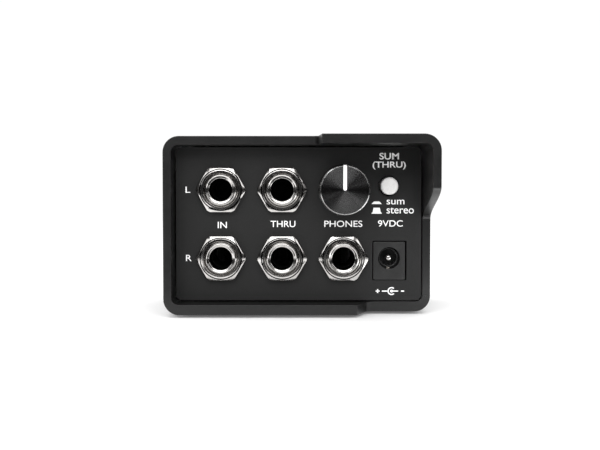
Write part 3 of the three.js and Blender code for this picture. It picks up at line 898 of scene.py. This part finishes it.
def screw_mesh(node):
    """A countersunk screw with a hexagon socket, and closed rings for its thread."""
    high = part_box(node)[1]
    pitch, turns = 0.5, 14
    profile = [(0.02, -10.0), (1.1, -10.0), (1.3, -9.8)]
    for k in range(turns):
        y = -9.7 + pitch * k
        profile += [(1.22, y), (1.48, y + 0.19), (1.48, y + 0.27), (1.22, y + 0.46)]
    profile += [(1.5, -2.6), (1.5, -1.15), (2.53, -0.12), (2.58, -0.05), (2.55, -0.01), (2.5, 0.0)]
    turned = [(r * MM, high.y + y * MM) for r, y in profile]
    socket = [(2.2, 0.0), (2.0, -0.1), (2.0, -1.2)]
    turned += [(hexagon(across * MM), high.y + y * MM) for across, y in socket]
    mesh = Mesh()
    mesh.turn([*turned, (0.02 * MM, high.y - 1.6 * MM)], middle(node), 96)
    return mesh


def capacitor_mesh(node):
    """An electrolytic can: a shrunk sleeve with a crimp near the board, and a dished top."""
    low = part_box(node)[0]
    profile = [(0.02, 0.0), (2.85, 0.0), (3.08, 0.12), (3.15, 0.4), (3.15, 0.85), (3.0, 1.02)]
    profile += [(2.86, 1.2), (2.86, 1.4), (3.0, 1.58), (3.15, 1.75), (3.15, 7.55), (3.06, 7.82)]
    profile += [(2.86, 7.97), (2.66, 8.0), (2.56, 7.9), (1.0, 7.88), (0.5, 7.8), (0.02, 7.8)]
    mesh = Mesh()
    mesh.turn([(r * MM, low.z + z * MM) for r, z in profile], middle(node), 72, upright=True)
    return mesh


def chip_mesh(node):
    """A small-outline chip: a moulded body with four bent pins on each side."""
    low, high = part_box(node)
    pins, first, pitch, half_pin = 4, 0.45 * MM, 1 * MM, 0.2 * MM
    body_inset, reach, leg = 0.8 * MM, 0.9 * MM, 0.1 * MM
    mesh = Mesh()
    mesh.block((low.x + body_inset, low.y, low.z), (high.x - body_inset, high.y, high.z))
    for k in range(pins):
        y = low.y + first + k * pitch
        for foot, root in [(low.x, low.x + reach), (high.x, high.x - reach)]:
            knee = (foot + root) / 2
            # each pin's shoulder, leg and foot: its ends across, and its heights in millimetres
            stretches = [
                (sorted((root, knee)), 0.7, 0.9),
                ((knee - leg, knee + leg), -0.25, 0.9),
                (sorted((foot, knee)), -0.28, -0.1),
            ]
            for (x0, x1), z0, z1 in stretches:
                mesh.block((x0, y - half_pin, low.z + z0 * MM), (x1, y + half_pin, low.z + z1 * MM))
    return mesh


BUILDERS = {"foot_": foot_mesh, "rear_screw_": screw_mesh, "capacitor_": capacitor_mesh}
LOOKS = {"capacitor_": "sleeve_film"}
for name in frame["nodes"]:
    for prefix, build in BUILDERS.items():
        if name.startswith(prefix):
            slot = SLOT_OF[name]
            finish_piece(f"{name}_look", build(name), LOOKS.get(prefix, slot), "chassis", [name])
    if name.endswith("_chip"):
        finish_piece(f"{name}_look", chip_mesh(name), SLOT_OF[name], "chassis", [name],
                     bevel=0.05 * MM)

# ---- CAD nodes: those that aren't replaced show their own shape, with their edges softened -----

for name, node in frame["nodes"].items():
    node.data.materials.clear()
    node.data.materials.append(MATERIALS[SLOT_OF[name]])
    weld = node.modifiers.new("joined_points", "WELD")
    weld.merge_threshold = 0.001 * MM
    rounding = node.modifiers.new("rounded_edges", "BEVEL")
    rounding.width, rounding.segments = 0.08 * MM, 2
    rounding.limit_method, rounding.angle_limit = "ANGLE", math.radians(35)

# ---- legends -----------------------------------------------------------------------------------

INK_FILM = 0.02 * MM
INK_BACK = PANEL_Y - 0.01 * MM      # y of the film's back


def word_mesh(text, width, height, weight):
    """A word in the built-in font, stretched to a width and height. Its lower left is at the origin."""
    curve = bpy.data.curves.new("word", "FONT")
    curve.body = text
    curve.size = 1
    curve.extrude = 0.5
    curve.offset = weight
    data = standing_mesh(curve, 0)
    xs = [v.co.x for v in data.vertices]
    zs = [v.co.z for v in data.vertices]
    x0, x1, z0, z1 = min(xs), max(xs), min(zs), max(zs)
    for v in data.vertices:
        v.co.x = (v.co.x - x0) / (x1 - x0) * width
        v.co.z = (v.co.z - z0) / (z1 - z0) * height
        v.co.y = v.co.y * 2 * INK_FILM - INK_FILM
    return data


# text, left edge, lower edge, width and height, in millimetres from the middle of the panel, and how
# much heavier than the plain font the strokes are, as a share of its size
LIGHT, HEAVY = 0.002, 0.014
WORDS = [
    ("L", -32.38, 8.95, 1.35, 1.75, LIGHT),
    ("R", -32.33, -10.65, 1.6, 1.75, LIGHT),
    ("IN", -23.18, -1.2, 2.6, 1.8, LIGHT),
    ("THRU", -8.03, -0.9, 7.1, 1.8, LIGHT),
    ("PHONES", 7.37, -0.85, 10.9, 1.8, LIGHT),
    ("9VDC", 22.77, -0.75, 7.1, 1.8, LIGHT),
    ("SUM", 23.12, 18.45, 5.6, 1.9, HEAVY),
    ("(THRU)", 21.17, 15.6, 9.5, 2.3, HEAVY),
    ("sum", 25.22, 5.6, 5.1, 1.35, LIGHT),
    ("stereo", 25.22, 3.0, 7.8, 1.75, LIGHT),
]


def bar(x0, x1, z0, z1):
    return [(x0, z0), (x1, z0), (x1, z1), (x0, z1)]


def arc_band(x, z, inner, outer, start, end):
    angles = [math.radians(start + (end - start) * k / 24) for k in range(25)]
    there = [(x + outer * math.cos(a), z + outer * math.sin(a)) for a in angles]
    back = [(x + inner * math.cos(a), z + inner * math.sin(a)) for a in reversed(angles)]
    return there + back


POLARITY = (26.72, -19.3)           # the middle of the polarity sign
PLUS = 22.72                        # x of its plus sign's middle
LINE = 0.32                         # printed line width
ARM = 0.55                          # reach of the plus sign's arms


def dash(x0, x1):
    """A level line at the height of the polarity sign."""
    return bar(x0, x1, POLARITY[1] - LINE / 2, POLARITY[1] + LINE / 2)


def plus_arm(side):
    """The part of the plus sign's upright above (1) or below (-1) its level line, a micron clear of it."""
    ends = sorted((POLARITY[1] + side * (LINE / 2 + 0.001), POLARITY[1] + side * ARM))
    return bar(PLUS - LINE / 2, PLUS + LINE / 2, *ends)


SIGNS = [
    # a button pressed in, and one standing out above its base line
    [(20.92, 5.7), (23.82, 5.7), (23.67, 5.95), (23.12, 6.45), (21.62, 6.45), (21.07, 5.95)],
    [(20.92, 2.95), (23.82, 2.95), (23.82, 3.25), (23.57, 3.25), (23.27, 4.65), (21.47, 4.65),
     (21.17, 3.25), (20.92, 3.25)],
    # the polarity sign: two leads, the cup, the dot, plus and minus
    dash(23.92, 25.72),
    dash(27.02, 28.62),
    arc_band(*POLARITY, 0.82, 1.16, 48, 312),
    circle(*POLARITY, 0.42, 20),
    dash(PLUS - ARM, PLUS + ARM),
    plus_arm(1),
    plus_arm(-1),
    dash(29.42, 30.32),
]


def sign_mesh(outline):
    mesh = Mesh()
    n = len(outline)
    front = [(x * MM, INK_BACK - INK_FILM, PANEL_Z + z * MM) for x, z in outline]
    back = [(x, y + INK_FILM, z) for x, y, z in front]
    sides = [[k, (k + 1) % n, n + (k + 1) % n, n + k] for k in range(n)]
    mesh.add(front + back, [list(range(n))[::-1], list(range(n, 2 * n)), *sides])
    data = bpy.data.meshes.new("sign")
    data.from_pydata(mesh.points, [], mesh.faces)
    return data


def legend_mesh():
    whole = bmesh.new()
    for outline in SIGNS:
        whole.from_mesh(sign_mesh(outline))
    for text, left, low, width, height, weight in WORDS:
        data = word_mesh(text, width * MM, height * MM, weight)
        data.transform(Matrix.Translation((left * MM, INK_BACK, PANEL_Z + low * MM)))
        whole.from_mesh(data)
    data = bpy.data.meshes.new("legends")
    whole.to_mesh(data)
    whole.free()
    return data


finish_piece("panel_print", legend_mesh(), "ink", "chassis")

# ---- floor and light ---------------------------------------------------------------------------


def stage_object(name, material, points, faces):
    data = bpy.data.meshes.new(name)
    data.from_pydata(points, [], faces)
    data.materials.append(material)
    thing = bpy.data.objects.new(name, data)
    bpy.context.scene.collection.objects.link(thing)
    return thing


def stage_floor():
    """A round sheet of pale paper, softly lit from below so that it stays white to its edge."""
    s = Shader("floor_paper")
    fleck = s.noise(30 * MM, 2, 0.5)
    paper = s.mix(s.ramp(fleck, 0.3, 0.7), grey(0.9), grey(0.92))
    s.set(Base_Color=paper, Roughness=0.9, Specular_IOR_Level=0.0, Emission_Color=(1, 1, 1, 1),
          Emission_Strength=0.12)
    reach, sides = 0.75, 96
    angles = [2 * math.pi * k / sides for k in range(sides)]
    stage_object("floor", s.material, [(reach * math.cos(a), reach * math.sin(a), 0) for a in angles],
                 [list(range(sides))])


def show_in_reflections_only(card):
    card.visible_camera = card.visible_diffuse = card.visible_shadow = False


def black_cards():
    """Black cloth that only reflections show: a screen round the front, a mat and an apron on the floor."""
    s = Shader("black_cloth")
    nap = s.noise(4 * MM, 3, 0.6)
    s.set(Base_Color=s.mix(nap, grey(0.006), grey(0.01)), Roughness=0.95)
    radius, height, half_turn, steps = 0.62, 0.6, math.radians(88), 44
    angles = [half_turn * (2 * k / steps - 1) for k in range(steps + 1)]
    ring = [(radius * math.sin(a), -radius * math.cos(a)) for a in angles]
    screen = [(x, y, z) for z in (0, height) for x, y in ring]
    # the mat leaves a clear oblong round the object, and the apron covers the middle of the oblong's front
    lift, near, far, rear = 1 * MM, 0.16, radius, 0.02
    apron_half, apron_end = 0.05, -0.051
    mat = [(-far, -far, lift), (far, -far, lift), (near, -near, lift), (-near, -near, lift),
           (far, rear, lift), (near, rear, lift), (-near, rear, lift), (-far, rear, lift)]
    apron = bar(-apron_half, apron_half, -near, apron_end)
    cards = [
        ("screen", screen, [[k, k + 1, k + steps + 2, k + steps + 1] for k in range(steps)]),
        ("mat", mat, [[0, 1, 2, 3], [1, 4, 5, 2], [0, 3, 6, 7]]),
        ("apron", [(x, y, lift) for x, y in apron], [[0, 1, 2, 3]]),
    ]
    for name, points, faces in cards:
        show_in_reflections_only(stage_object(f"black_{name}", s.material, points, faces))


def bounce_card():
    """A bright card low down at the front right, which only reflections in the edges above it show."""
    s = Shader("bounce_card")
    glow = s.mix(s.noise(20 * MM), grey(0.92), grey(1.0))
    s.set(Base_Color=glow, Emission_Color=glow, Emission_Strength=2.4)
    lift = 2 * MM
    corners = [(x, y, lift) for x, y in bar(0.038, 0.08, -0.046, -0.022)]
    show_in_reflections_only(stage_object("bounce_card", s.material, corners, [[0, 1, 2, 3]]))


def softbox(name, place, aim, width, height, power, glossy=True):
    """A rectangular lamp. With glossy off, it lights the surfaces but isn't mirrored in them."""
    light = bpy.data.lights.new(name, "AREA")
    light.shape = "RECTANGLE"
    light.size, light.size_y = width, height
    light.energy = power
    lamp = bpy.data.objects.new(name, light)
    lamp.location = place
    lamp.rotation_euler = (Vector(aim) - Vector(place)).to_track_quat("-Z", "Y").to_euler()
    lamp.visible_glossy = glossy
    bpy.context.scene.collection.objects.link(lamp)


stage_floor()
black_cards()
bounce_card()
SUBJECT = (0, 0, 0.03)              # what the lamps in front aim at
softbox("key", (-0.02, -0.46, 0.29), SUBJECT, width=0.42, height=0.24, power=1.0)
softbox("left_side", (-0.3, -0.42, 0.2), SUBJECT, width=0.12, height=0.2, power=0.12)
softbox("right_side", (0.3, -0.42, 0.2), SUBJECT, width=0.12, height=0.2, power=0.12)
softbox("fill", (0, -0.45, 0.08), SUBJECT, width=0.4, height=0.3, power=1.35, glossy=False)
softbox("top", (0.0, 0.05, 0.7), (0, 0, 0.02), width=0.7, height=0.6, power=0.6)

world = bpy.data.worlds.new("studio")
world.use_nodes = True
world.node_tree.nodes["Background"].inputs["Color"].default_value = (*grey(1.02), 1)
bpy.context.scene.world = world
